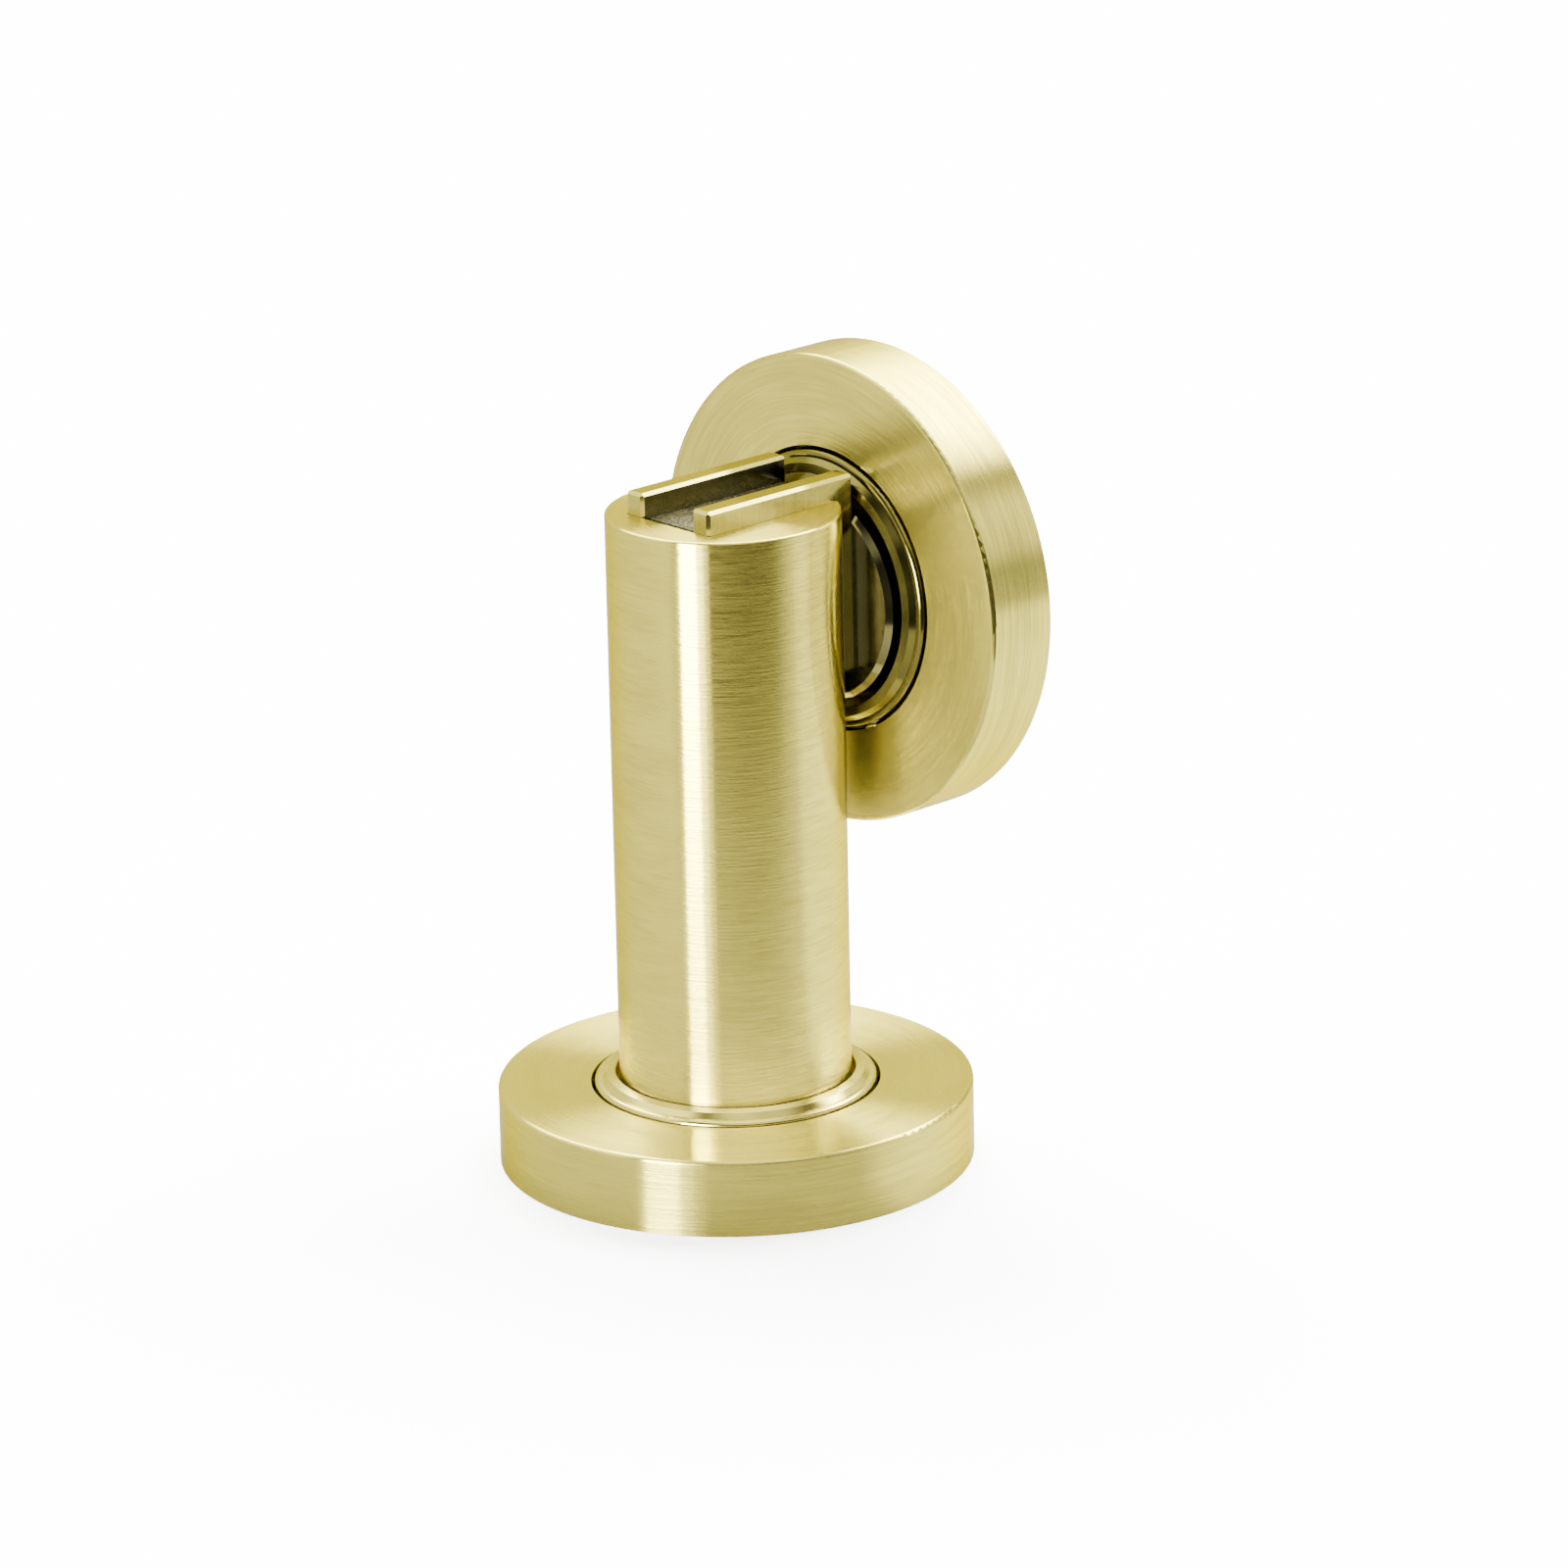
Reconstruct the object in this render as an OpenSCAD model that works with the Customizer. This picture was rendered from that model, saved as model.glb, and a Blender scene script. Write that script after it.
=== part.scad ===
// Magnetic floor door holder, in millimetres.
// The floor unit is a post with a magnet between two steel pole plates. The door unit
// carries a floating keeper disc. Both stand on the same cast base under the same rose.
// Z is up, z = 0 is the floor, the post's axis is the Z axis, and the door is towards +X.

/* [Roses] */
// Outer diameter of each round rose
rose_d = 52; // [51:0.5:54]
// Height of a rose above the surface that it covers
rose_h = 8.5; // [8:0.1:9.2]
// Thickness of a rose's side wall and top
rose_wall = 1.3; // [1:0.1:1.5]
// Diameter of the hole in a rose's top
rose_hole_d = 31.7; // [31.4:0.1:32.5]
// Rounding of a rose's outer edge
rose_edge = 0.45; // [0.2:0.05:0.8]

/* [Base castings] */
// How far the collar's crown stands above the rose
collar_rise = 1.3; // [1.2:0.05:1.5]
// Diameter of the collar inside the rose's hole
collar_d = 30.9; // [30.6:0.1:31]
// Diameter of the recess in the collar
recess_d = 26.2; // [26:0.1:26.8]
// Depth of the recess below the collar's crown
recess_depth = 3.15; // [3:0.05:3.3]
// Thickness of the flange that is screwed down
flange_h = 3; // [2.6:0.1:3.4]
// Diameter of the circle of fixing holes
fixing_pcd = 39; // [38:0.25:40]
// Diameter of a fixing hole
fixing_hole_d = 4.5; // [4:0.1:5]
// Number of fixing holes in each base
fixing_count = 3; // [3:1:4]

/* [Post] */
// Diameter of the post
post_d = 25.4; // [24:0.1:25.8]
// Height of the post's flat top above the floor
post_top = 73; // [70:0.5:80]
// Diameter of the bore inside the post
post_bore_d = 19.4; // [17:0.2:20]
// Thickness of the web between the bore and the magnet's slot
post_web = 6; // [4:0.5:8]

/* [Magnet pack] */
// Thickness of a pole plate
plate_t = 2.6; // [2:0.1:3]
// Distance over the outsides of the two pole plates
plate_pair_w = 13; // [12:0.1:14]
// Height of a pole plate
plate_h = 22.1; // [20:0.1:24]
// How far the pole plates stand above the post's top
plate_rise = 2.6; // [1.5:0.1:3.5]
// Distance from the post's axis to the pole plates' faces on the door's side
plate_front = 13; // [12.9:0.1:14]
// Distance from the post's axis to the pole plates' other ends
plate_back = 8; // [7:0.1:9]
// Chamfer along a pole plate's edges
plate_chamfer = 0.35; // [0.1:0.05:0.5]

/* [Door unit] */
// Height of the door unit's centre above the floor
door_z = 61; // [60:0.1:62]
// Diameter of the keeper disc
keeper_d = 23.6; // [22:0.1:24.4]
// Thickness of the keeper disc
keeper_t = 2.5; // [2.3:0.1:2.6]
// How far the keeper's face stands out of the collar
keeper_proud = 0.5; // [0.5:0.05:0.8]
// How far the keeper hangs below the middle of its recess
keeper_sag = 0.35; // [0:0.05:0.6]

/* [Hidden] */

$fn = 96;
eps = 0.5;
edge_fn = 32;

satin_brass = "#c8bc78";
polished_brass = "#d8cc8c";
plated_steel = "#bfb26e";
bright_steel = "#b9bcc0";
dark_magnet = "#4a4a4c";
black_rubber = "#1c1c1c";
gold_resin = "#8f7f45";

// Fits
contact_gap = 0.05;
plug_gap = 0.01;
pin_gap = 0.01;

// Roses and the rings that hold them
rose_r = rose_d / 2;
rose_inner_r = rose_r - rose_wall;
rose_hole_r = rose_hole_d / 2;
ring_wire_r = 0.6;
ring_z = flange_h / 2;
ring_r = rose_inner_r - ring_wire_r - 0.02;
ring_groove_gap = 0.04;

// Base castings
flange_r = rose_inner_r - 0.4;
collar_r = collar_d / 2;
collar_top = rose_h + collar_rise;
shoulder_z = rose_h + 0.5;
shoulder_edge = 0.55;
crown_foot_r = collar_r - 0.8;
crown_r = collar_r - 1.35;
crown_z = collar_top - 0.25;
recess_r = recess_d / 2;
recess_floor = collar_top - recess_depth;
recess_chamfer = 0.15;
base_web = 2.65;
counterbore_r = 5.8;
counterbore_h = recess_floor - base_web;
base_hole_r = 3.2;
core_inner_r = 7.6;
core_outer_r = 12.4;
core_h = 3;
core_rib_w = 2;
fixing_r = fixing_hole_d / 2;
countersink_r = 3.7;
first_fixing_angle = 180;

// Post
post_r = post_d / 2;
post_edge = 0.3;
post_bore_r = post_bore_d / 2;
plate_z = post_top + plate_rise - plate_h;
slot_z = plate_z - contact_gap;
slot_w = plate_pair_w + 2 * contact_gap;
slot_back = plate_back + contact_gap;
web_z = slot_z - post_web;
plug_h = 12;
plug_chamfer = 0.5;

// M6 screw that holds the post, and its lock washer
m6_r = 2.95;
m6_root_r = 2.5;
m6_pitch = 1;
m6_tapped_r = 3;
m6_length = 12;
m6_head_r = 5.25;
m6_head_h = 2.8;
m6_socket_af = 4;
m6_socket_h = 1.6;
m6_washer_r = 5.5;
m6_washer_hole_r = 3.1;
m6_washer_h = 1;
m6_washer_slit = 0.8;
tapped_depth = 11;

// M4 screws, washers and nut
m4_r = 1.95;
m4_root_r = 1.6;
m4_pitch = 0.7;
m4_clear_r = 2.25;
m4_tapped_r = 1.98;
m4_pan_r = 3.6;
m4_pan_h = 2.5;
m4_recess_w = 0.9;
m4_recess_l = 3.6;
m4_recess_h = 1.2;
m4_washer_r = 4.4;
m4_washer_hole_r = 2.15;
m4_washer_h = 0.8;
m4_nut_af = 7;
m4_nut_h = 2.2;

// Magnet pack, from its middle outwards
plate_y = plate_pair_w / 2 - plate_t;
core_w = 2 * plate_y;
pack_back = plate_back - 1;
anchor_front = plate_front - 0.8;
anchor_h = 4;
anchor_depth = 3.4;
magnet_z = plate_z + anchor_h;
magnet_top = post_top - 0.8;
magnet_front = anchor_front;
potting_top = post_top - 0.25;
potting_front = plate_front - 0.4;
rivet_r = 1.5;
rivet_x = [-4.6, 8.6];
rivet_z = plate_z + 2;

// Door unit: heights count from the door's surface, out towards the post
keeper_face = collar_top + keeper_proud;
door_x = plate_front + keeper_face;
keeper_r = keeper_d / 2;
keeper_chamfer = 0.6;
keeper_back_chamfer = 0.2;
keeper_back = keeper_face - keeper_t;
keeper_bore_r = m4_r + 0.08;
sunk_head_r = 3.8;
sunk_head_h = sunk_head_r - m4_r;
sunk_gap = 0.1;
sunk_below_face = 0.15;
keeper_screw_end = 0.5;
keeper_play = 0.2;
cushion_inner_r = 3.6;
cushion_outer_r = 7.2;
cushion_edge = 0.25;

// Puts a piece that is drawn on its mounting surface onto the door
module on_door() {
    translate([door_x, 0, door_z])
        rotate([0, -90, 0])
            children();
}

// The same for the pieces of the floating keeper, which hangs a little low
module on_keeper() {
    on_door()
        translate([-keeper_sag, 0, 0])
            children();
}

// Half-section of a disc with a rounded upper outer edge, for revolving
module rounded_disc_section(r, h, edge) {
    square([r - edge, h]);
    square([r, h - edge]);
    translate([r - edge, h - edge])
        circle(edge, $fn = edge_fn);
}

// Screw thread as a stack of rings, from z = 0 upwards
module threaded_rod(r, root_r, pitch, length) {
    turns = floor(length / pitch) - 1;
    crest = pitch / 8;
    profile = [
        [0, 0],
        [root_r, 0],
        for (i = [0 : turns - 1])
            each [
                [root_r, (i + 0.4) * pitch],
                [r, (i + 0.8) * pitch - crest],
                [r, (i + 0.8) * pitch + crest],
                [root_r, (i + 1.2) * pitch]
            ],
        [root_r, length],
        [0, length]
    ];
    rotate_extrude()
        polygon(profile);
}

// Cross-shaped driver recess, cut down from z = 0
module cross_recess() {
    for (angle = [0, 90])
        rotate([0, 0, angle])
            translate([-m4_recess_l / 2, -m4_recess_w / 2, -m4_recess_h])
                cube([m4_recess_l, m4_recess_w, m4_recess_h + eps]);
}

module flat_washer(r, hole_r, h) {
    difference() {
        cylinder(r = r, h = h);
        translate([0, 0, -eps])
            cylinder(r = hole_r, h = h + 2 * eps);
    }
}

// Places children at each fixing hole
module at_fixings() {
    for (i = [0 : fixing_count - 1])
        rotate([0, 0, first_fixing_angle + i * 360 / fixing_count])
            translate([fixing_pcd / 2, 0, 0])
                children();
}

// Outside of the base casting: flange, and a collar with a rounded shoulder and a raised crown
module base_outside() {
    rotate_extrude() {
        square([flange_r, flange_h]);
        polygon([
            [0, 0],
            [collar_r, 0],
            [collar_r, shoulder_z - shoulder_edge],
            [collar_r - shoulder_edge, shoulder_z],
            [crown_foot_r, shoulder_z],
            [crown_r, crown_z],
            [recess_r, collar_top],
            [0, collar_top]
        ]);
        translate([collar_r - shoulder_edge, shoulder_z - shoulder_edge])
            circle(shoulder_edge, $fn = edge_fn);
    }
}

// Ring-shaped hollow under the casting, bridged by a rib beside each fixing hole
module base_coring() {
    difference() {
        translate([0, 0, -eps])
            cylinder(r = core_outer_r, h = core_h + eps);
        translate([0, 0, -2 * eps])
            cylinder(r = core_inner_r, h = core_h + 4 * eps);
        for (i = [0 : fixing_count - 1])
            rotate([0, 0, first_fixing_angle + i * 360 / fixing_count])
                translate([0, -core_rib_w / 2, -2 * eps])
                    cube([core_outer_r + 2, core_rib_w, core_h + 4 * eps]);
    }
}

// Cast base, drawn standing on its mounting surface
module base_casting() {
    difference() {
        base_outside();
        translate([0, 0, recess_floor])
            cylinder(r = recess_r, h = recess_depth + eps);
        translate([0, 0, collar_top - recess_chamfer])
            cylinder(r1 = recess_r, r2 = recess_r + recess_chamfer + eps, h = recess_chamfer + eps);
        translate([0, 0, -eps])
            cylinder(r = base_hole_r, h = collar_top);
        translate([0, 0, -eps])
            cylinder(r = counterbore_r, h = counterbore_h + eps);
        base_coring();
        at_fixings() {
            translate([0, 0, -eps])
                cylinder(r = fixing_r, h = flange_h + 2 * eps);
            translate([0, 0, flange_h - (countersink_r - fixing_r)])
                cylinder(r1 = fixing_r, r2 = countersink_r + eps, h = countersink_r - fixing_r + eps);
        }
        ring_groove();
    }
}

// Groove round the flange's edge for the rubber ring
module ring_groove() {
    half_w = ring_wire_r + ring_groove_gap;
    rotate_extrude()
        translate([ring_r - half_w, ring_z - half_w])
            square([rose_r, 2 * half_w]);
}

module cover_ring() {
    rotate_extrude()
        translate([ring_r, ring_z])
            circle(ring_wire_r, $fn = edge_fn);
}

// Spun brass rose, drawn standing on its mounting surface
module rose_cover() {
    difference() {
        rotate_extrude()
            rounded_disc_section(rose_r, rose_h, rose_edge);
        translate([0, 0, -eps])
            cylinder(r = rose_inner_r, h = rose_h - rose_wall + eps);
        translate([0, 0, -eps])
            cylinder(r = rose_hole_r, h = rose_h + 2 * eps);
    }
}

module floor_base_plate() {
    color(polished_brass)
        base_casting();
}

module floor_cover_ring() {
    color(black_rubber)
        cover_ring();
}

module floor_rose_cover() {
    color(satin_brass)
        rose_cover();
}

// Solid of the post before its bore and slot are cut
module post_blank() {
    translate([0, 0, recess_floor])
        rotate_extrude() {
            rounded_disc_section(post_r, post_top - recess_floor, post_edge);
        }
}

module post_body() {
    color(satin_brass)
        difference() {
            post_blank();
            translate([0, 0, recess_floor - eps])
                cylinder(r = post_bore_r, h = web_z - recess_floor + eps);
            translate([0, 0, web_z - eps])
                cylinder(r = m4_clear_r, h = post_web + 2 * eps);
            translate([-slot_back, -slot_w / 2, slot_z])
                cube([slot_back + 2 * post_r, slot_w, post_top]);
        }
}

// Threaded plug that closes the post's foot
module post_foot_plug() {
    plug_r = post_bore_r - plug_gap;
    color(bright_steel)
        translate([0, 0, recess_floor])
            difference() {
                rotate_extrude()
                    polygon([
                        [0, 0],
                        [plug_r, 0],
                        [plug_r, plug_h - plug_chamfer],
                        [plug_r - plug_chamfer, plug_h],
                        [0, plug_h]
                    ]);
                translate([0, 0, -eps])
                    cylinder(r = m6_tapped_r, h = tapped_depth + eps);
            }
}

// Low-head screw, driven up through the base into the plug
module post_screw() {
    washer_z = counterbore_h - m6_washer_h;
    color(bright_steel) {
        difference() {
            translate([0, 0, washer_z - m6_head_h])
                cylinder(r = m6_head_r, h = m6_head_h);
            translate([0, 0, washer_z - m6_head_h - eps])
                cylinder(r = m6_socket_af / 2 / cos(30), h = m6_socket_h + eps, $fn = 6);
        }
        translate([0, 0, washer_z])
            threaded_rod(m6_r, m6_root_r, m6_pitch, m6_length);
    }
}

module post_lock_washer() {
    color(bright_steel)
        translate([0, 0, counterbore_h - m6_washer_h])
            difference() {
                flat_washer(m6_washer_r, m6_washer_hole_r, m6_washer_h);
                translate([0, -m6_washer_slit / 2, -eps])
                    cube([2 * m6_washer_r, m6_washer_slit, m6_washer_h + 2 * eps]);
            }
}

// Rectangle from a to b with every corner cut at 45 degrees
module chamfered_rectangle(a, b, cut) {
    polygon([
        [a[0] + cut, a[1]],
        [b[0] - cut, a[1]],
        [b[0], a[1] + cut],
        [b[0], b[1] - cut],
        [b[0] - cut, b[1]],
        [a[0] + cut, b[1]],
        [a[0], b[1] - cut],
        [a[0], a[1] + cut]
    ]);
}

// Steel pole plate with chamfered edges; side is 1 for +Y and -1 for -Y
module pole_plate(side) {
    y_low = side > 0 ? plate_y : -plate_y - plate_t;
    y_high = y_low + plate_t;
    z_high = plate_z + plate_h;
    length = plate_front + plate_back;
    difference() {
        intersection() {
            translate([-plate_back, 0, 0])
                rotate([90, 0, 90])
                    linear_extrude(length)
                        chamfered_rectangle([y_low, plate_z], [y_high, z_high], plate_chamfer);
            translate([0, 0, plate_z])
                linear_extrude(plate_h)
                    chamfered_rectangle([-plate_back, y_low], [plate_front, y_high], plate_chamfer);
            translate([0, y_high, 0])
                rotate([90, 0, 0])
                    linear_extrude(plate_t)
                        chamfered_rectangle([-plate_back, plate_z], [plate_front, z_high], plate_chamfer);
        }
        rivet_cylinders(rivet_r + pin_gap, plate_pair_w + 2 * eps);
    }
}

// The two cross pins of the magnet pack, at any radius and length
module rivet_cylinders(r, length) {
    for (x = rivet_x)
        translate([x, length / 2, rivet_z])
            rotate([90, 0, 0])
                cylinder(r = r, h = length, $fn = 48);
}

module pole_plate_near() {
    color(plated_steel)
        pole_plate(-1);
}

module pole_plate_far() {
    color(plated_steel)
        pole_plate(1);
}

module magnet_block() {
    color(dark_magnet)
        translate([-pack_back, -plate_y, magnet_z])
            cube([pack_back + magnet_front, core_w, magnet_top - magnet_z]);
}

// Resin that seals the magnet's top and its side towards the door
module magnet_potting() {
    color(gold_resin)
        difference() {
            translate([-pack_back, -plate_y, magnet_z])
                cube([pack_back + potting_front, core_w, potting_top - magnet_z]);
            translate([-pack_back - eps, -plate_y - eps, magnet_z - eps])
                cube([pack_back + magnet_front + eps, core_w + 2 * eps, magnet_top - magnet_z + eps]);
        }
}

// Brass block under the magnet: the pins hold the plates to it, the screw holds it to the post
module magnet_anchor_block() {
    color(polished_brass)
        difference() {
            translate([-pack_back, -plate_y, plate_z])
                cube([pack_back + anchor_front, core_w, anchor_h]);
            rivet_cylinders(rivet_r + pin_gap, plate_pair_w + 2 * eps);
            translate([0, 0, plate_z - eps])
                cylinder(r = m4_tapped_r, h = anchor_depth + eps);
        }
}

module pack_rivets() {
    color(bright_steel)
        rivet_cylinders(rivet_r, plate_pair_w);
}

// Pan-head screw that pulls the magnet pack down onto the post's web
module anchor_screw() {
    head_top = web_z - m4_washer_h;
    reach = plate_z + anchor_depth - 0.2 - head_top;
    color(bright_steel) {
        translate([0, 0, head_top])
            threaded_rod(m4_r, m4_root_r, m4_pitch, reach);
        translate([0, 0, head_top])
            mirror([0, 0, 1])
                difference() {
                    rotate_extrude()
                        rounded_disc_section(m4_pan_r, m4_pan_h, 1);
                    translate([0, 0, m4_pan_h])
                        cross_recess();
                }
    }
}

module anchor_washer() {
    color(bright_steel)
        translate([0, 0, web_z - m4_washer_h])
            flat_washer(m4_washer_r, m4_washer_hole_r, m4_washer_h);
}

module door_base_plate() {
    color(polished_brass)
        on_door()
            base_casting();
}

module door_cover_ring() {
    color(black_rubber)
        on_door()
            cover_ring();
}

module door_rose_cover() {
    color(satin_brass)
        on_door()
            rose_cover();
}

// Steel disc that the magnet grips; it floats in the door unit's recess
module keeper_disc() {
    color(polished_brass)
        on_keeper()
            difference() {
                rotate_extrude()
                    polygon([
                        [0, keeper_back],
                        [keeper_r - keeper_back_chamfer, keeper_back],
                        [keeper_r, keeper_back + keeper_back_chamfer],
                        [keeper_r, keeper_face - keeper_chamfer],
                        [keeper_r - keeper_chamfer, keeper_face],
                        [0, keeper_face]
                    ]);
                translate([0, 0, keeper_back - eps])
                    cylinder(r = keeper_bore_r, h = keeper_t + 2 * eps);
                translate([0, 0, keeper_face - sunk_below_face - sunk_head_h])
                    cylinder(r1 = m4_r + sunk_gap, r2 = sunk_head_r + sunk_gap, h = sunk_head_h);
                translate([0, 0, keeper_face - sunk_below_face])
                    cylinder(r = sunk_head_r + sunk_gap, h = sunk_below_face + eps);
            }
}

// Countersunk screw through the keeper, with its cross recess
module keeper_screw() {
    head_top = keeper_face - sunk_below_face;
    head_bottom = head_top - sunk_head_h;
    color(bright_steel)
        on_keeper()
            difference() {
                union() {
                    translate([0, 0, head_bottom])
                        cylinder(r1 = m4_r, r2 = sunk_head_r, h = sunk_head_h);
                    translate([0, 0, counterbore_h])
                        cylinder(r = m4_r, h = head_bottom - counterbore_h);
                    translate([0, 0, keeper_screw_end])
                        threaded_rod(m4_r, m4_root_r, m4_pitch, counterbore_h - keeper_screw_end);
                }
                translate([0, 0, head_top])
                    cross_recess();
            }
}

module keeper_washer() {
    color(bright_steel)
        on_keeper()
            translate([0, 0, counterbore_h - keeper_play - m4_washer_h])
                flat_washer(m4_washer_r, m4_washer_hole_r, m4_washer_h);
}

module keeper_nut() {
    color(bright_steel)
        on_keeper()
            translate([0, 0, counterbore_h - keeper_play - m4_washer_h - m4_nut_h])
                difference() {
                    cylinder(r = m4_nut_af / 2 / cos(30), h = m4_nut_h, $fn = 6);
                    translate([0, 0, -eps])
                        cylinder(r = m4_tapped_r, h = m4_nut_h + 2 * eps);
                }
}

// Rubber ring behind the keeper that lets it tilt and brings it back
module keeper_cushion() {
    thickness = keeper_back - recess_floor;
    color(black_rubber)
        on_keeper()
            translate([0, 0, recess_floor])
                difference() {
                    rotate_extrude()
                        rounded_disc_section(cushion_outer_r, thickness, cushion_edge);
                    translate([0, 0, -eps])
                        cylinder(r = cushion_inner_r, h = thickness + 2 * eps);
                }
}

floor_base_plate();
floor_cover_ring();
floor_rose_cover();
post_body();
post_foot_plug();
post_screw();
post_lock_washer();
pole_plate_near();
pole_plate_far();
magnet_block();
magnet_potting();
magnet_anchor_block();
pack_rivets();
anchor_screw();
anchor_washer();
door_base_plate();
door_cover_ring();
door_rose_cover();
keeper_disc();
keeper_screw();
keeper_washer();
keeper_nut();
keeper_cushion();
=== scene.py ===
"""Looks of the magnetic floor door holder: camera, studio, floor and materials around its CAD frame."""

import math

import bmesh
import bpy
from mathutils import Matrix, Vector


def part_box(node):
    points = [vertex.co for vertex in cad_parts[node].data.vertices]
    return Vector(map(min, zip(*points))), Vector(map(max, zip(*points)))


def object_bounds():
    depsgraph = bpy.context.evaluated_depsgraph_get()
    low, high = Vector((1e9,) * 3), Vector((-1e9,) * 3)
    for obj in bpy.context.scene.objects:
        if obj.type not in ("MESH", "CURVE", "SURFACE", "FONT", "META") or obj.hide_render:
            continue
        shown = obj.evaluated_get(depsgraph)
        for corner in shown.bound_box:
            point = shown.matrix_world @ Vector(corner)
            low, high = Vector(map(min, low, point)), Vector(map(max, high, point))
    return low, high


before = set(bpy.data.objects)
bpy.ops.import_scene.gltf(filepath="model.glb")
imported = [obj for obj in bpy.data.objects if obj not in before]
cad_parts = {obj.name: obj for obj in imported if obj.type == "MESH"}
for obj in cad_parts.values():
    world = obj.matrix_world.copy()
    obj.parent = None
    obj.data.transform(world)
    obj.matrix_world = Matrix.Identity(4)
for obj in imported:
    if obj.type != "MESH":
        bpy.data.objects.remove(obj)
CAD_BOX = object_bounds()
MM = 0.001

# The height of the axis that the door rose was turned about. The post's axis is at x and y zero.
DOOR_LOW, DOOR_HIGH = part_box("door_rose_cover")
DOOR_AXIS_Z = (DOOR_LOW.z + DOOR_HIGH.z) / 2
# The pole plates' faces that are towards the magnet lie nearer to the middle plane than this; these
# faces get painted shade
INNER_FACE_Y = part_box("pole_plate_far")[0].y + 0.02 * MM

# ---------------------------------------------------------------- camera


def make_camera():
    """A long lens, left of the post and a little above it."""
    place = Vector((-0.51077, -0.56360, 0.29360))
    heading = math.radians(42.631)
    pitch = math.radians(-18.300)
    roll = math.radians(-1.190)
    data = bpy.data.cameras.new("camera")
    data.sensor_width = 36.0
    data.lens = 170.36
    data.clip_start = 0.05
    data.clip_end = 20.0
    camera = bpy.data.objects.new("camera", data)
    bpy.context.scene.collection.objects.link(camera)
    turn = (
        Matrix.Rotation(-heading, 4, "Z")
        @ Matrix.Rotation(math.pi / 2 + pitch, 4, "X")
        @ Matrix.Rotation(roll, 4, "Z")
    )
    camera.matrix_world = Matrix.Translation(place) @ turn
    bpy.context.scene.camera = camera


# ---------------------------------------------------------------- node helpers


class Graph:
    """Short ways to add and join the nodes of one tree."""

    def __init__(self, tree):
        self.tree = tree
        tree.nodes.clear()

    def node(self, kind, inputs=None, **settings):
        made = self.tree.nodes.new(kind)
        for key, value in settings.items():
            setattr(made, key, value)
        for key, value in (inputs or {}).items():
            self.feed(made.inputs[key], value)
        return made

    def feed(self, socket, value):
        if isinstance(value, bpy.types.NodeSocket):
            self.tree.links.new(value, socket)
        else:
            socket.default_value = value

    def math(self, operation, a, b=0.0, c=0.0):
        made = self.node("ShaderNodeMath", operation=operation)
        for socket, value in zip(made.inputs, (a, b, c)):
            self.feed(socket, value)
        return made.outputs[0]

    def vector_math(self, operation, a, b=None):
        made = self.node("ShaderNodeVectorMath", operation=operation)
        self.feed(made.inputs[0], a)
        if b is not None:
            self.feed(made.inputs[1], b)
        return made.outputs["Value" if operation == "LENGTH" else "Vector"]

    def combine(self, x, y, z):
        return self.node("ShaderNodeCombineXYZ", {"X": x, "Y": y, "Z": z}).outputs[0]

    def separate(self, vector):
        return self.node("ShaderNodeSeparateXYZ", {"Vector": vector}).outputs

    def remap(self, value, low, high, to_low, to_high, **settings):
        made = self.node(
            "ShaderNodeMapRange",
            {"Value": value, "From Min": low, "From Max": high, "To Min": to_low, "To Max": to_high},
            **settings,
        )
        return made.outputs["Result"]

    def ease(self, value, low, high, to_low, to_high):
        """Like remap, with a soft start and end."""
        return self.remap(value, low, high, to_low, to_high, interpolation_type="SMOOTHSTEP")

    def dot(self, a, b, c, d):
        """a times b plus c times d."""
        return self.math("ADD", self.math("MULTIPLY", a, b), self.math("MULTIPLY", c, d))

    def degrees(self, angle):
        return self.math("MULTIPLY", angle, 180 / math.pi)

    def noise(self, vector, scale=1.0, detail=2.0, roughness=0.5, w=None):
        inputs = {"Vector": vector, "Scale": scale, "Detail": detail, "Roughness": roughness}
        if w is not None:
            inputs["W"] = w
        made = self.node("ShaderNodeTexNoise", inputs, noise_dimensions="3D" if w is None else "4D")
        return made.outputs["Fac"]

    def mix_colour(self, share, a, b, blend_type="MIX"):
        made = self.node("ShaderNodeMix", data_type="RGBA", blend_type=blend_type)
        self.feed(made.inputs["Factor"], share)
        self.feed(made.inputs["A"], a)
        self.feed(made.inputs["B"], b)
        return made.outputs["Result"]


def colour(r, g, b):
    return (r, g, b, 1.0)


def new_material(name):
    material = bpy.data.materials.new(name)
    material.use_nodes = True
    return material, Graph(material.node_tree)


def finish_material(g, shader):
    g.node("ShaderNodeOutputMaterial", {"Surface": shader})


# ---------------------------------------------------------------- materials

BRASS = (0.84, 0.725, 0.125)
COLLAR_BRASS = (0.80, 0.69, 0.14)
# The door collar's polished brass, darkened with painted shade
DOOR_COLLAR_PAINTED_SHADE_BRASS = (0.205, 0.18, 0.038)
# The keeper disc's polished brass, darkened with painted shade of the dark gap it faces
KEEPER_PAINTED_SHADE_BRASS = (0.25, 0.23, 0.08)
PLATE_BRASS = (0.57, 0.505, 0.10)
# The plate brass darkened with painted shade, for the plates' faces in the narrow slot towards the
# magnet
PAINTED_SHADE_PLATE_BRASS = (0.24, 0.225, 0.12)
# Brass seen edge-on
GRAZED_BRASS = (0.80, 0.69, 0.28)
# How brass looks in other brass, which keeps its reflections from turning orange
MIRRORED_BRASS = (0.84, 0.81, 0.68)


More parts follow.
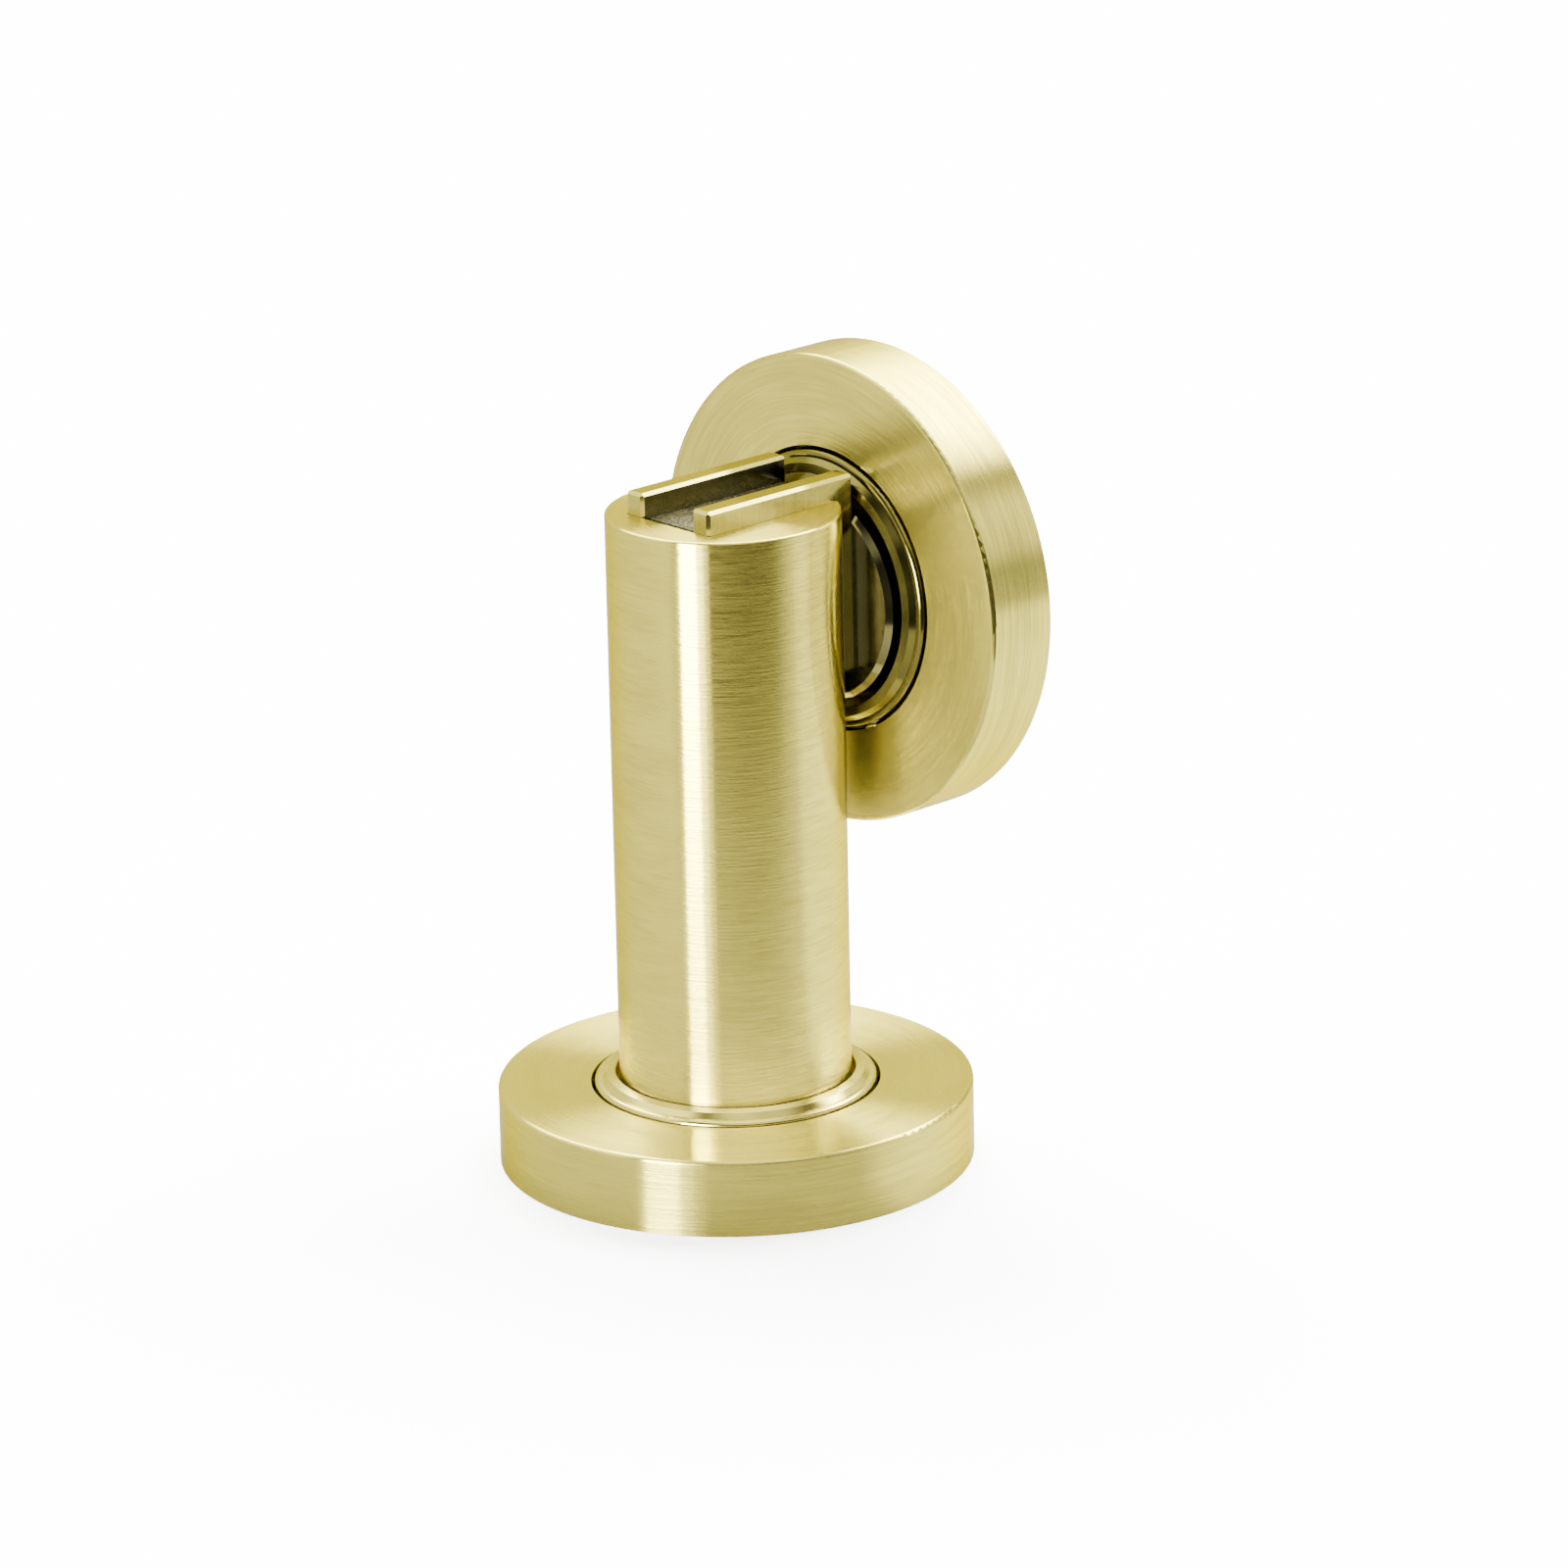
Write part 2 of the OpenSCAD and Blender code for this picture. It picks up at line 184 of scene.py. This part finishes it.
def brass_colour(g, share, low=0.9, tint=BRASS):
    """The tint, or a paler one where other brass reflects it; share runs from dull to bright."""
    seen = g.node("ShaderNodeLightPath").outputs["Is Camera Ray"]
    depth = tint[0] / BRASS[0]
    mirrored = colour(*(depth * c for c in MIRRORED_BRASS))
    shown = g.mix_colour(seen, mirrored, colour(*tint))
    shade = g.remap(share, 0.3, 0.7, low, 1.0)
    grey = g.node("ShaderNodeCombineColor", {"Red": shade, "Green": shade, "Blue": shade})
    return g.mix_colour(1.0, shown, grey.outputs[0], "MULTIPLY")


def turned_coordinates(g, axis, centre_z):
    """On a part turned about X or Z: the unit direction round it, the radius and the height."""
    x, y, z = g.separate(g.node("ShaderNodeTexCoord").outputs["Object"])
    if axis == "Z":
        across, along = (x, y), z
    else:
        across, along = (y, g.math("SUBTRACT", z, centre_z)), x
    flat = g.combine(across[0], across[1], 0.0)
    radius = g.vector_math("LENGTH", flat)
    around = g.vector_math("NORMALIZE", flat)
    return around, radius, along


def turned_noise(g, place, around_scale, line_mm, detail):
    """Streaks that follow the turning marks, about line_mm apart."""
    around, radius, along = place
    lines = 1.0 / (line_mm * MM)
    spun = g.vector_math("MULTIPLY", around, (around_scale, around_scale, 0.0))
    parts = g.separate(spun)
    vector = g.combine(parts[0], parts[1], g.math("MULTIPLY", along, lines))
    return g.noise(vector, 1.0, detail, 0.6, w=g.math("MULTIPLY", radius, lines))


# Brushing of the turned brass: how quickly it changes round the part, the distance of its lines in mm
# and its detail
FINE_LINES = (3.2, 0.24, 3.0)
MEDIUM_LINES = (2.0, 0.8, 2.0)
BROAD_LINES = (1.6, 3.0, 2.0)
# The greatest share of the brushed brass that scatters light like a dull metal
HAZE = 0.06


def satin_brass(name, axis, centre_z):
    """Brass brushed in a lathe: fine lines that run round the part, over a weak haze."""
    material, g = new_material(name)
    place = turned_coordinates(g, axis, centre_z)
    fine = turned_noise(g, place, *FINE_LINES)
    medium = turned_noise(g, place, *MEDIUM_LINES)
    broad = turned_noise(g, place, *BROAD_LINES)
    lines = g.dot(fine, 0.75, medium, 0.25)
    tone = g.dot(lines, 0.75, broad, 0.25)
    base = brass_colour(g, g.remap(tone, 0.40, 0.60, 0.3, 0.7), 0.78)
    bump = g.node("ShaderNodeBump", {"Strength": 1.0, "Distance": 40e-6, "Height": lines})
    tangent = g.node("ShaderNodeTangent", direction_type="RADIAL", axis=axis)
    brushed = g.node(
        "ShaderNodeBsdfPrincipled",
        {
            "Base Color": base,
            "Metallic": 1.0,
            "Specular Tint": colour(*GRAZED_BRASS),
            "Roughness": g.remap(tone, 0.40, 0.60, 0.24, 0.17),
            "Anisotropic": 1.0,
            "Anisotropic Rotation": 0.25,
            "Normal": bump.outputs["Normal"],
            "Tangent": tangent.outputs["Tangent"],
        },
    )
    dull = g.node("ShaderNodeBsdfPrincipled", {"Base Color": base, "Metallic": 1.0, "Roughness": 0.6})
    share = g.remap(lines, 0.40, 0.60, HAZE, 0.0)
    both = g.node("ShaderNodeMixShader", {0: share, 1: brushed.outputs[0], 2: dull.outputs[0]})
    finish_material(g, both.outputs[0])
    return material


def polished_brass(name, tint, low, high):
    """Polished plated brass with faint waves in it, in the given tint, which for the door collar and
    keeper is darkened with painted shade; low and high bound its roughness.
    """
    material, g = new_material(name)
    place = g.node("ShaderNodeTexCoord").outputs["Object"]
    cloud = g.noise(place, 260.0, 3.0)
    peel = g.noise(place, 900.0, 2.0)
    bump = g.node("ShaderNodeBump", {"Strength": 0.5, "Distance": 6e-6, "Height": peel})
    shader = g.node(
        "ShaderNodeBsdfPrincipled",
        {
            "Base Color": brass_colour(g, cloud, 0.9, tint),
            "Metallic": 1.0,
            "Specular Tint": colour(*GRAZED_BRASS),
            "Roughness": g.remap(cloud, 0.3, 0.7, low, high),
            "Normal": bump.outputs["Normal"],
        },
    )
    finish_material(g, shader.outputs["BSDF"])
    return material


def ground_steel(name):
    """Pole plate steel, ground and brass plated: faint upright lines, and painted shade on the faces
    towards the magnet.
    """
    material, g = new_material(name)
    x, y, z = g.separate(g.node("ShaderNodeTexCoord").outputs["Object"])
    stretched = g.combine(
        g.math("MULTIPLY", x, 3500.0), g.math("MULTIPLY", y, 3500.0), g.math("MULTIPLY", z, 120.0)
    )
    lines = g.noise(stretched, 1.0, 3.0, 0.6)
    bump = g.node("ShaderNodeBump", {"Strength": 0.5, "Distance": 1e-6, "Height": lines})
    # Painted shade: the faces towards the magnet get a darker copy of the plate brass
    painted_shade_mask = g.math("LESS_THAN", g.math("ABSOLUTE", y), INNER_FACE_Y)
    outside = brass_colour(g, lines, 0.85, PLATE_BRASS)
    painted_shade_inside = brass_colour(g, lines, 0.85, PAINTED_SHADE_PLATE_BRASS)
    shader = g.node(
        "ShaderNodeBsdfPrincipled",
        {
            "Base Color": g.mix_colour(painted_shade_mask, outside, painted_shade_inside),
            "Metallic": 1.0,
            "Specular Tint": colour(*GRAZED_BRASS),
            "Roughness": g.remap(lines, 0.3, 0.7, 0.10, 0.18),
            "Normal": bump.outputs["Normal"],
        },
    )
    finish_material(g, shader.outputs["BSDF"])
    return material


def cast_resin(name):
    """Dark glossy potting resin with a little gold-coloured powder, drawn up at the door's side."""
    material, g = new_material(name)
    place = g.node("ShaderNodeTexCoord").outputs["Object"]
    along = g.separate(place)[0]
    grain = g.noise(place, 3000.0, 2.0, 0.7)
    swell = g.noise(place, 500.0, 2.0)
    powder = g.remap(grain, 0.5, 0.68, 0.0, 1.0)
    base = g.mix_colour(powder, colour(0.042, 0.039, 0.013), colour(0.22, 0.19, 0.06))
    climb = g.ease(along, 1.0 * MM, 12.6 * MM, 0.0, 1.0)
    waves = g.math("MULTIPLY", swell, g.remap(climb, 0.0, 1.0, 0.15 * MM, 1.1 * MM))
    rise = g.math("MULTIPLY_ADD", climb, 1.6 * MM, waves)
    height = g.math("ADD", rise, g.math("MULTIPLY", grain, 0.012 * MM))
    bump = g.node("ShaderNodeBump", {"Strength": 1.0, "Distance": 1.0, "Height": height})
    shader = g.node(
        "ShaderNodeBsdfPrincipled",
        {
            "Base Color": base,
            "Specular IOR Level": 0.12,
            "Roughness": g.remap(grain, 0.3, 0.7, 0.22, 0.38),
            "Normal": bump.outputs["Normal"],
        },
    )
    finish_material(g, shader.outputs["BSDF"])
    return material


def simple_material(name, rgb, metallic, rough, grain_mm, grain_height):
    """A plain finish with a fine grain."""
    material, g = new_material(name)
    grain = g.noise(g.node("ShaderNodeTexCoord").outputs["Object"], 1.0 / (grain_mm * MM), 3.0)
    base = g.mix_colour(grain, colour(*(0.8 * c for c in rgb)), colour(*rgb))
    bump = g.node("ShaderNodeBump", {"Strength": 0.5, "Distance": grain_height, "Height": grain})
    shader = g.node(
        "ShaderNodeBsdfPrincipled",
        {
            "Base Color": base,
            "Metallic": metallic,
            "Roughness": g.remap(grain, 0.3, 0.7, rough * 0.85, rough * 1.15),
            "Normal": bump.outputs["Normal"],
        },
    )
    finish_material(g, shader.outputs["BSDF"])
    return material


def dress(material, *nodes):
    """Gives these CAD nodes one material in every slot."""
    for name in nodes:
        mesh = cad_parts[name].data
        for index in range(len(mesh.materials)):
            mesh.materials[index] = material


# ---------------------------------------------------------------- studio

# The floor as the camera sees it, and the backdrop's radiance
FLOOR_WHITE = 3.2
BACKDROP = 14.0
# Glossy Depth is above this where light came by way of two pieces of metal
TWO_BOUNCES = 1.5

# The table that stands in for the floor in reflections: which way its front edge lies, as an azimuth
# from +X towards +Y, how far off the edge fades out, and how light the table is in its grey part and
# in its part with a painted pool of light. The painted light lies between two azimuths, with a soft
# edge. Close to the rose it is turned back by TABLE_TURN degrees.
TABLE_FRONT = -115.0
TABLE_EDGE = (0.115, 0.13)
TABLE_GREY = 0.31
TABLE_PAINTED_LIGHT = 0.56
TABLE_PAINTED_LIGHT_PART = (-61, 25, 6)
TABLE_TURN = 28.0
TABLE_TURN_RADII = (0.038, 0.062)

# The room round the object, as soft-edged panels of light. Azimuth runs from +X towards +Y.
# azimuth from, to, edge softness, elevation from, to, edge softness, radiance
PANELS = [
    (-180, 180, 0, -91, 91, 0, 0.07),
    (-66, 15, 20, -91, -9, 4, 2.8),
    (-66, 15, 20, -9, 9, 4, 0.7),
    (-66, 15, 20, 9, 32, 4, 1.9),
    (20, 176, 6, -91, 32, 4, 1.45),
    (-27, 88, 8, 35, 66, 5, 22.0),
    (90, 170, 12, 34, 66, 5, 3.0),
    (-150, -60, 20, 30, 66, 8, 1.5),
    (-180, 180, 0, 70, 91, 5, 3.0),
]
# More panels, for where the room is seen by way of two pieces of metal
TWICE_REFLECTED = [
    (-175, -55, 8, 3, 80, 4, 2.6),
    (184, 202, 2, 5, 30, 4, 16.0),
    (-178, -140, 4, -60, 3, 4, 2.8),
    (-140, -115, 4, -60, 3, 4, 0.45),
]
# The tint of the room's dark parts
DARK_TINT = (0.95, 1.0, 1.3)


def window(g, value, low, high, soft):
    """One between low and high, fading out over soft degrees past each edge."""
    reach = soft + 0.01
    rise = g.ease(value, low - reach, low + reach, 0.0, 1.0)
    fall = g.ease(value, high - reach, high + reach, 1.0, 0.0)
    return g.math("MULTIPLY", rise, fall)


def panel(g, x, y, elevation, bounds):
    """One soft-edged panel of light in the direction (x, y) at that elevation."""
    az0, az1, az_soft, el0, el1, el_soft, radiance = bounds
    level = g.math("MULTIPLY", window(g, elevation, el0, el1, el_soft), radiance)
    if az1 - az0 >= 360:
        return level
    centre = math.radians((az0 + az1) / 2)
    across = g.dot(y, math.cos(centre), x, -math.sin(centre))
    along = g.dot(x, math.cos(centre), y, math.sin(centre))
    turn = g.degrees(g.math("ARCTAN2", across, along))
    half = (az1 - az0) / 2
    return g.math("MULTIPLY", level, window(g, turn, -half, half, az_soft))


def add_panels(g, direction, panels):
    """The radiance of these panels, added up."""
    x, y, z = direction
    elevation = g.degrees(g.math("ARCSINE", z))
    total = 0.0
    for bounds in panels:
        total = g.math("ADD", panel(g, x, y, elevation, bounds), total)
    return total


def make_world():
    """The room, as light by direction. The camera sees plain white."""
    world = bpy.data.worlds.new("studio")
    bpy.context.scene.world = world
    world.use_nodes = True
    g = Graph(world.node_tree)
    direction = g.separate(g.node("ShaderNodeTexCoord").outputs["Generated"])
    path = g.node("ShaderNodeLightPath").outputs
    again = g.math("GREATER_THAN", path["Glossy Depth"], TWO_BOUNCES)
    extra = add_panels(g, direction, TWICE_REFLECTED)
    room = g.math("MULTIPLY_ADD", extra, again, add_panels(g, direction, PANELS))
    seen = path["Is Camera Ray"]
    unseen = g.math("SUBTRACT", 1.0, seen)
    shown = g.dot(seen, BACKDROP, unseen, room)
    tint = g.mix_colour(g.remap(shown, 0.0, 1.0, 0.0, 1.0), colour(*DARK_TINT), colour(1, 1, 1))
    background = g.node("ShaderNodeBackground", {"Color": tint, "Strength": shown})
    g.node("ShaderNodeOutputWorld", {"Surface": background.outputs[0]})


def make_floor():
    """A wide pale floor. In reflections it is a small table with a painted pool of light, with the room
    below and beyond it.
    """
    mesh = bpy.data.meshes.new("floor")
    made = bmesh.new()
    bmesh.ops.create_circle(made, cap_ends=True, radius=4.0, segments=96)
    made.to_mesh(mesh)
    made.free()
    floor = bpy.data.objects.new("floor", mesh)
    bpy.context.scene.collection.objects.link(floor)
    floor.location.z = CAD_BOX[0].z - 0.02 * MM
    material, g = new_material("pale_floor")
    place = g.node("ShaderNodeTexCoord").outputs["Object"]
    x, y, z = g.separate(place)
    path = g.node("ShaderNodeLightPath").outputs
    front = math.radians(TABLE_FRONT)
    ahead = g.dot(x, math.cos(front), y, math.sin(front))
    near = g.remap(ahead, *TABLE_EDGE, 1.0, 0.0)
    turned_back = g.remap(g.vector_math("LENGTH", place), *TABLE_TURN_RADII, TABLE_TURN, 0.0)
    turn = g.math("ADD", g.degrees(g.math("ARCTAN2", y, x)), turned_back)
    once = g.math("LESS_THAN", path["Glossy Depth"], TWO_BOUNCES)
    # Painted light: a brighter part of the table, seen only where one piece of metal reflects it
    painted_light = g.math("MULTIPLY", window(g, turn, *TABLE_PAINTED_LIGHT_PART), once)
    lit = g.remap(painted_light, 0.0, 1.0, TABLE_GREY, TABLE_PAINTED_LIGHT)
    shade = g.node("ShaderNodeCombineColor", {"Red": lit, "Green": lit, "Blue": lit})
    table = g.node("ShaderNodeBsdfDiffuse", {"Color": shade.outputs[0]})
    beyond = g.node("ShaderNodeBsdfTransparent")
    reflected = g.node("ShaderNodeMixShader", {0: near, 1: beyond.outputs[0], 2: table.outputs[0]})
    shown = g.node("ShaderNodeBsdfDiffuse", {"Color": colour(FLOOR_WHITE, FLOOR_WHITE, FLOOR_WHITE)})
    seen = path["Is Camera Ray"]
    either = g.node("ShaderNodeMixShader", {0: seen, 1: reflected.outputs[0], 2: shown.outputs[0]})
    finish_material(g, either.outputs[0])
    mesh.materials.append(material)


def parts_of(name, nodes):
    """A collection of these CAD nodes, for a light to be linked to."""
    parts = bpy.data.collections.new(name)
    for node in nodes:
        parts.objects.link(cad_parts[node])
    return parts


def standing_light(name, azimuth, distance, width, height, radiance, receivers):
    """An upright light that stands on the floor, faces the post and lights only the receivers."""
    a = math.radians(azimuth)
    data = bpy.data.lights.new(name, "AREA")
    data.shape = "RECTANGLE"
    data.size = width
    data.size_y = height
    data.energy = radiance * width * height * math.pi
    light = bpy.data.objects.new(name, data)
    bpy.context.scene.collection.objects.link(light)
    light.location = (distance * math.cos(a), distance * math.sin(a), height / 2)
    facing = Vector((-math.cos(a), -math.sin(a), 0.0))
    light.rotation_euler = facing.to_track_quat("-Z", "Y").to_euler()
    light.visible_camera = False
    light.light_linking.receiver_collection = receivers


def make_lights():
    """A narrow window at the left, with a soft edge. The door rose has its own dim light instead."""
    others = [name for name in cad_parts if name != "door_rose_cover"]
    window_lights = parts_of("others", others)
    glow_lights = parts_of("door_rose", ["door_rose_cover"])
    standing_light("strip_light", 193.5, 0.30, 0.080, 0.10, 110.0, window_lights)
    standing_light("strip_edge", 204.5, 0.30, 0.037, 0.10, 20.0, window_lights)
    standing_light("strip_fall_off", 210.5, 0.30, 0.026, 0.10, 5.0, window_lights)
    standing_light("glow_on_door_rose", 231.0, 0.12, 0.038, 0.045, 1.6, glow_lights)


make_camera()
make_world()
make_floor()
make_lights()

post_brass = satin_brass("satin_brass_post", "Z", 0.0)
door_brass = satin_brass("satin_brass_door", "X", DOOR_AXIS_Z)
collar_brass = polished_brass("polished_brass_floor", COLLAR_BRASS, 0.12, 0.20)
# The door collar and keeper take polished brass darkened with painted shade
door_collar_shaded_brass = polished_brass("polished_brass_door_painted_shade", DOOR_COLLAR_PAINTED_SHADE_BRASS, 0.11, 0.18)
keeper_shaded_brass = polished_brass("polished_brass_keeper_painted_shade", KEEPER_PAINTED_SHADE_BRASS, 0.08, 0.14)
plate_steel = ground_steel("plated_steel")
bright_steel = simple_material("bright_steel", (0.62, 0.63, 0.65), 1.0, 0.3, 0.3, 3e-6)
magnet_grey = simple_material("magnet", (0.10, 0.10, 0.11), 0.8, 0.5, 0.2, 1e-5)
gold_resin = cast_resin("resin")
black_rubber = simple_material("rubber", (0.02, 0.02, 0.02), 0.0, 0.6, 0.2, 1e-5)

dress(post_brass, "post_body", "floor_rose_cover")
dress(door_brass, "door_rose_cover")
dress(collar_brass, "floor_base_plate", "magnet_anchor_block")
dress(door_collar_shaded_brass, "door_base_plate")
dress(keeper_shaded_brass, "keeper_disc")
dress(plate_steel, "pole_plate_near", "pole_plate_far")
dress(
    bright_steel, "post_foot_plug", "post_screw", "post_lock_washer", "pack_rivets", "anchor_screw",
    "anchor_washer", "keeper_screw", "keeper_washer", "keeper_nut",
)
dress(magnet_grey, "magnet_block")
dress(gold_resin, "magnet_potting")
dress(black_rubber, "floor_cover_ring", "door_cover_ring", "keeper_cushion")
